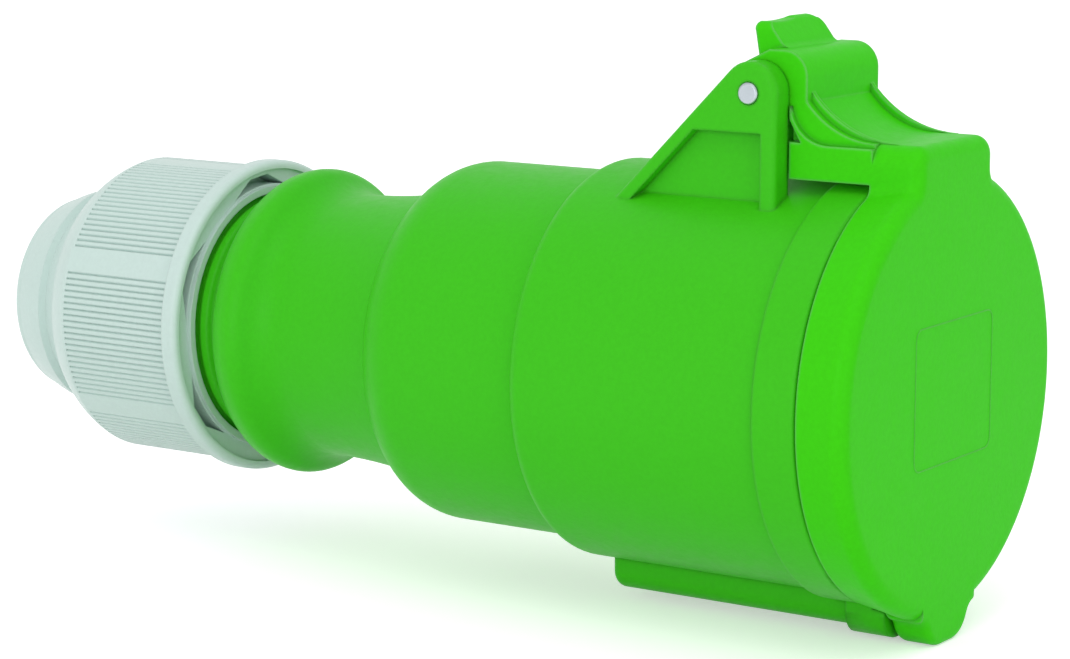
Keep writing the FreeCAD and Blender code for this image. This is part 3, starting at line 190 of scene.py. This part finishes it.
def paint_edge_light_and_shade(tree, corner, shader, colour, painted_highlight, painted_shade):
    """Paint a highlight on the outer edges and paint shade into the inner corners.

    An edge is where the rounded normal departs from the plain one.
    """
    surface = tree.nodes.new("ShaderNodeNewGeometry")
    product = tree.nodes.new("ShaderNodeVectorMath")
    product.operation = "DOT_PRODUCT"
    tree.links.new(surface.outputs["Normal"], product.inputs[0])
    tree.links.new(corner, product.inputs[1])
    hollow = tree.nodes.new("ShaderNodeAmbientOcclusion")
    hollow.samples = 8
    hollow.only_local = True
    hollow.inputs["Distance"].default_value = HOLLOW_REACH
    openness = ramp(tree, hollow.outputs["AO"], 0.55, 0.95)
    bent = ramp(tree, product.outputs["Value"], 0.995, 0.75, 0.0, painted_highlight)
    outer = tree.nodes.new("ShaderNodeMath")
    outer.operation = "MULTIPLY"
    tree.links.new(openness, outer.inputs[0])
    tree.links.new(bent, outer.inputs[1])
    base = shader.inputs["Base Color"].links[0].from_socket
    # Painted shade: inner corners, found by ambient occlusion, take a darker copy of the colour.
    corner_shaded = blend_colour(tree, openness, shade(colour, 1 - painted_shade), base)
    # Painted highlight: outer edges blend towards a lighter copy of the colour.
    highlight_colour = (*((channel + 1) / 2 for channel in colour[:3]), 1.0)
    highlighted = blend_colour(tree, outer.outputs["Value"], corner_shaded, highlight_colour)
    tree.links.new(highlighted, shader.inputs["Base Color"])


def moulded(name, colour, rough, amount=0.03, grain_scale=2600.0, grain_depth=0.00003, shine=0.15,
            edge=0.0007, painted_highlight=0.05, painted_shade=0.25):
    """Injection-moulded plastic with a fine sparked texture and soft edges."""
    material, tree, shader, place = blank_material(name)
    mottle(tree, place, shader, colour, amount, 1500.0)
    sheen = noise(tree, place, 700.0)
    tree.links.new(spread(tree, sheen.outputs["Fac"], rough - 0.04, rough + 0.04),
                   shader.inputs["Roughness"])
    shader.inputs["Specular IOR Level"].default_value = shine
    corner = rounded_corner(tree, edge)
    # Painted highlight on the outer edges and painted shade in the inner corners.
    paint_edge_light_and_shade(tree, corner, shader, colour, painted_highlight, painted_shade)
    grain(tree, place, shader, grain_scale, grain_depth, corner)
    return material


def metal(name, colour, rough, along, scale=900.0):
    """Metal with fine drawn or turned lines along one axis."""
    material, tree, shader, place = blank_material(name)
    stretch = tree.nodes.new("ShaderNodeMapping")
    stretch.inputs["Scale"].default_value = tuple(0.06 if axis == along else 1.0 for axis in "xyz")
    tree.links.new(place.outputs["Object"], stretch.inputs["Vector"])
    lines = new_node(tree, "ShaderNodeTexNoise", Scale=scale, Detail=3.0)
    tree.links.new(stretch.outputs["Vector"], lines.inputs["Vector"])
    tree.links.new(spread(tree, lines.outputs["Fac"], rough - 0.06, rough + 0.08),
                   shader.inputs["Roughness"])
    mottle(tree, place, shader, colour, 0.04, 400.0)
    shader.inputs["Metallic"].default_value = 1.0
    bump = new_node(tree, "ShaderNodeBump", Strength=0.25, Distance=0.00002)
    tree.links.new(lines.outputs["Fac"], bump.inputs["Height"])
    tree.links.new(bump.outputs["Normal"], shader.inputs["Normal"])
    return material


def rubber(name, colour):
    """Soft dark rubber with a dusty bloom."""
    material, tree, shader, place = blank_material(name)
    mottle(tree, place, shader, colour, 0.15, 500.0)
    dust = noise(tree, place, 1500.0)
    tree.links.new(spread(tree, dust.outputs["Fac"], 0.6, 0.8), shader.inputs["Roughness"])
    grain(tree, place, shader, 3000.0, 0.00002)
    return material


def dress(node, material):
    """Give a CAD node its finish."""
    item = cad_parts[node]
    item.data.materials.clear()
    item.data.materials.append(material)


# The lid's green is the body's green made lighter: painted light standing in for the brighter lit lid.
GREEN_LID_PAINTED_LIT = linear(62, 205, 18)
GREEN_BODY = linear(59, 190, 18)
PALE_GREY = linear(198, 219, 213)

# The edge settings in these finishes paint highlights on outer edges and shade into inner corners.
finishes = {
    "housing": moulded("housing_green", GREEN_BODY, 0.42),
    "shell": moulded("shell_green", GREEN_BODY, 0.42),
    "lid": moulded("lid_green_painted_lit", GREEN_LID_PAINTED_LIT, 0.38, shine=0.045, painted_highlight=0.3),
    "nut": moulded("nut_grey", PALE_GREY, 0.34, amount=0.02, shine=0.3, edge=0.0002, painted_highlight=0.3,
                   painted_shade=0.0),
    "cage": moulded("cage_grey", linear(190, 196, 198), 0.45),
    "insert": moulded("insert_black", linear(52, 54, 57), 0.5),
    "seal": rubber("seal_rubber", linear(24, 24, 26)),
    "brass": metal("contact_brass", linear(214, 182, 108), 0.28, "x"),
    "spring": metal("spring_steel", linear(188, 190, 192), 0.3, "y"),
    "pin": metal("pin_steel", linear(178, 186, 192), 0.38, "y"),
    "screw": metal("screw_steel", linear(196, 196, 190), 0.32, "z"),
}

NODE_FINISH = {
    "front_housing": "housing",
    "housing_lock": "housing",
    "rear_shell": "shell",
    "lid": "lid",
    "union_nut": "nut",
    "clamp_cage": "cage",
    "thrust_ring": "cage",
    "earth_chamber": "insert",
    "phase_top_chamber": "insert",
    "phase_bottom_chamber": "insert",
    "terminal_cover": "insert",
    "lid_seal": "seal",
    "body_seal": "seal",
    "cable_seal": "seal",
    "earth_sleeve": "brass",
    "phase_top_sleeve": "brass",
    "phase_bottom_sleeve": "brass",
    "earth_spring_ring": "spring",
    "phase_top_spring_ring": "spring",
    "phase_bottom_spring_ring": "spring",
    "hinge_pin": "pin",
    "earth_terminal_screw": "screw",
    "phase_top_terminal_screw": "screw",
    "phase_bottom_terminal_screw": "screw",
}

for node, finish in NODE_FINISH.items():
    dress(node, finishes[finish])


def mesh_piece(name, mesh, material, body):
    """Put a bmesh into the scene as a piece that rides on a body."""
    data = bpy.data.meshes.new(name)
    mesh.to_mesh(data)
    mesh.free()
    data.materials.append(material)
    item = bpy.data.objects.new(name, data)
    bpy.context.collection.objects.link(item)
    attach(item, body)
    return item


def join_rings(mesh, rings):
    """Side faces between closed rings of as many vertices each."""
    for near, far in zip(rings, rings[1:]):
        for index in range(len(near)):
            after = (index + 1) % len(near)
            mesh.faces.new((near[index], near[after], far[after], far[index]))


def wire_piece(name, points, radius, body, sides=12):
    """Bent wire along a line of points, with closed ends."""
    mesh = bmesh.new()
    line = [Vector(point) for point in points]
    ways = []
    for index in range(len(line)):
        before = line[max(index - 1, 0)]
        after = line[min(index + 1, len(line) - 1)]
        ways.append((after - before).normalized())
    side = ways[0].orthogonal().normalized()
    rings = []
    for place, way in zip(line, ways):
        side = (side - way * side.dot(way)).normalized()
        across = way.cross(side)
        rings.append([mesh.verts.new(place + radius * (side * math.cos(turn) + across * math.sin(turn)))
                      for turn in (2 * math.pi * step / sides for step in range(sides))])
    join_rings(mesh, rings)
    mesh.faces.new(list(reversed(rings[0])))
    mesh.faces.new(rings[-1])
    bmesh.ops.recalc_face_normals(mesh, faces=mesh.faces)
    item = mesh_piece(name, mesh, finishes["spring"], body)
    for face in item.data.polygons:
        face.use_smooth = len(face.vertices) == 4
    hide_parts("lid_spring")
    return item


def coil_point(turned):
    """Point on the coil after so many degrees of winding from its lid end."""
    angle = math.radians(SPRING_START - turned)
    along = -SPRING_HALF + 2 * SPRING_HALF * turned / (360 * SPRING_TURNS)
    return PIN + Vector((SPRING_COIL * math.cos(angle), along, SPRING_COIL * math.sin(angle)))


def spring_pieces():
    """Coil with its housing leg, and the leg that the lid carries with it."""
    whole = 360 * SPRING_TURNS
    coil = [coil_point(whole * step / SPRING_STEPS) for step in range(SPRING_STEPS + 1)]
    down = coil[-1].copy()
    down.z = SPRING_FOOT_Z
    wire_piece("lid_spring_coil", coil + [down], SPRING_WIRE, "housing")
    wound = [coil_point(LID_OPENING * step / 12) for step in range(12, -1, -1)]
    start = wound[-1]
    knee = Vector((start.x + start.z - SPRING_ROOF_Z, start.y, SPRING_ROOF_Z))
    bend = [knee + Vector((-0.0006, 0.0, 0.0006)), knee + Vector((-0.0001, 0.0, 0.00022)),
            knee + Vector((0.0006, 0.0, 0.0))]
    tip = Vector((SPRING_TIP_X, start.y, SPRING_ROOF_Z))
    wire_piece("lid_spring_leg", wound + bend + [tip], SPRING_WIRE * 0.97, "lid")


spring_pieces()


def key_box_skin():
    """Smooth outside of the key box and its tongue, up to the lid's skirt."""
    mesh = bmesh.new()
    outer = SKIN_ROUND + SKIN_PROUD
    side = [(SKIN_FLAT + outer * math.sin(math.radians(15 * step)),
             SKIN_CENTRE + outer * math.cos(math.radians(15 * step))) for step in range(7)]
    across = side[-1][0]
    sections = []
    for x, roof in SKIN_STATIONS:
        steps = [across * (1 - step / 6) for step in range(13)]
        top = [(y, math.sqrt(roof ** 2 - y ** 2)) for y in steps]
        loop = side + top + [(-y, down) for y, down in reversed(side)]
        sections.append([mesh.verts.new((x, y, -down)) for y, down in loop])
    join_rings(mesh, sections)
    mesh.faces.new(list(reversed(sections[0])))
    mesh.faces.new(sections[-1])
    bmesh.ops.recalc_face_normals(mesh, faces=mesh.faces)
    item = mesh_piece("key_box_skin", mesh, finishes["housing"], "housing")
    for face in item.data.polygons:
        face.use_smooth = len(face.vertices) == 4 and face.normal.z < -0.05


key_box_skin()


def rounded_loop(low, high, corner, steps=6):
    """Points of a rounded rectangle in the Y-Z plane."""
    points = []
    centres = (
        (high[0] - corner, high[1] - corner, 0),
        (low[0] + corner, high[1] - corner, 90),
        (low[0] + corner, low[1] + corner, 180),
        (high[0] - corner, low[1] + corner, 270),
    )
    for across, up, start in centres:
        for step in range(steps + 1):
            angle = math.radians(start + 90 * step / steps)
            points.append((across + corner * math.cos(angle), up + corner * math.sin(angle)))
    return points


def label_border():
    """Low moulded border round the bare label field on the lid."""
    mesh = bmesh.new()
    shoulder = LABEL_LIFT * 0.7
    rings = []
    for grow, lift in ((0.0, -LABEL_SUNK), (0.0, shoulder), (LABEL_WIDTH * 0.5, LABEL_LIFT),
                       (LABEL_WIDTH, shoulder), (LABEL_WIDTH, -LABEL_SUNK)):
        outline = rounded_loop((LABEL_LOW[0] - grow, LABEL_LOW[1] - grow),
                               (LABEL_HIGH[0] + grow, LABEL_HIGH[1] + grow), LABEL_CORNER + grow)
        rings.append([mesh.verts.new((LID_FRONT + lift, y, z)) for y, z in outline])
    join_rings(mesh, rings)
    bmesh.ops.recalc_face_normals(mesh, faces=mesh.faces)
    item = mesh_piece("label_border", mesh, finishes["lid"], "lid")
    for face in item.data.polygons:
        face.use_smooth = True
    return item


label_border()


def white_backdrop(name, grey, strength):
    """Pale matte material that looks nearly white to the camera and keeps the shadow."""
    material = bpy.data.materials.new(name)
    material.use_nodes = True
    tree = material.node_tree
    tree.nodes.clear()
    output = tree.nodes.new("ShaderNodeOutputMaterial")
    matte = new_node(tree, "ShaderNodeBsdfDiffuse", Color=(grey, grey, grey, 1.0))
    glow = new_node(tree, "ShaderNodeEmission", Color=(1.0, 1.0, 1.0, 1.0), Strength=strength)
    path = tree.nodes.new("ShaderNodeLightPath")
    seen = any_of(tree, path.outputs["Is Camera Ray"], path.outputs["Is Glossy Ray"])
    none = new_node(tree, "ShaderNodeEmission", Strength=0.0)
    pick = tree.nodes.new("ShaderNodeMixShader")
    tree.links.new(seen, pick.inputs["Fac"])
    tree.links.new(none.outputs["Emission"], pick.inputs[1])
    tree.links.new(glow.outputs["Emission"], pick.inputs[2])
    both = tree.nodes.new("ShaderNodeAddShader")
    tree.links.new(matte.outputs["BSDF"], both.inputs[0])
    tree.links.new(pick.outputs["Shader"], both.inputs[1])
    tree.links.new(both.outputs["Shader"], output.inputs["Surface"])
    return material


def studio_floor():
    """Wide plain floor under the part."""
    mesh = bmesh.new()
    bmesh.ops.create_grid(mesh, x_segments=1, y_segments=1, size=6.0)
    data = bpy.data.meshes.new("studio_floor")
    mesh.to_mesh(data)
    mesh.free()
    data.materials.append(white_backdrop("floor_white", 0.9, 0.45))
    floor = bpy.data.objects.new("studio_floor", data)
    floor.location = (0.08, 0.0, FLOOR_Z)
    bpy.context.collection.objects.link(floor)


def studio_world():
    """Even white surroundings."""
    world = bpy.data.worlds.new("studio")
    bpy.context.scene.world = world
    world.use_nodes = True
    tree = world.node_tree
    tree.nodes.clear()
    output = tree.nodes.new("ShaderNodeOutputWorld")
    light = new_node(tree, "ShaderNodeBackground", Color=(1.0, 1.0, 1.0, 1.0), Strength=0.85)
    seen = new_node(tree, "ShaderNodeBackground", Color=(1.0, 1.0, 1.0, 1.0), Strength=1.0)
    path = tree.nodes.new("ShaderNodeLightPath")
    shown = any_of(tree, path.outputs["Is Camera Ray"], path.outputs["Is Transmission Ray"],
                   path.outputs["Is Glossy Ray"])
    mix = tree.nodes.new("ShaderNodeMixShader")
    tree.links.new(shown, mix.inputs["Fac"])
    tree.links.new(light.outputs["Background"], mix.inputs[1])
    tree.links.new(seen.outputs["Background"], mix.inputs[2])
    tree.links.new(mix.outputs["Shader"], output.inputs["Surface"])


def soft_box(name, place, target, width, power):
    """Square area lamp turned to a target."""
    lamp = bpy.data.lights.new(name, "AREA")
    lamp.shape = "SQUARE"
    lamp.size = width
    lamp.energy = power
    item = bpy.data.objects.new(name, lamp)
    item.location = place
    toward = Vector(target) - Vector(place)
    item.rotation_euler = toward.to_track_quat("-Z", "Y").to_euler()
    bpy.context.collection.objects.link(item)


def photo_camera():
    """Camera at the photograph's angle."""
    data = bpy.data.cameras.new("photo_camera")
    data.sensor_fit = "HORIZONTAL"
    data.sensor_width = 36.0
    data.lens = CAMERA_LENS
    data.clip_start = 0.01
    camera = bpy.data.objects.new("photo_camera", data)
    camera.location = CAMERA_PLACE
    camera.rotation_euler = Euler(CAMERA_TURN)
    bpy.context.collection.objects.link(camera)
    bpy.context.scene.camera = camera


studio_floor()
studio_world()
soft_box("key_above", (0.35, -0.35, 0.75), (0.09, 0.0, 0.0), 0.5, 0.8)
soft_box("fill_right", (0.84, -0.38, 0.08), (0.15, 0.0, 0.0), 0.25, 0.35)
soft_box("fill_front", (0.15, -0.8, 0.1), (0.08, 0.0, 0.0), 0.5, 1.2)
photo_camera()

scene = bpy.context.scene
scene.view_settings.view_transform = "Standard"
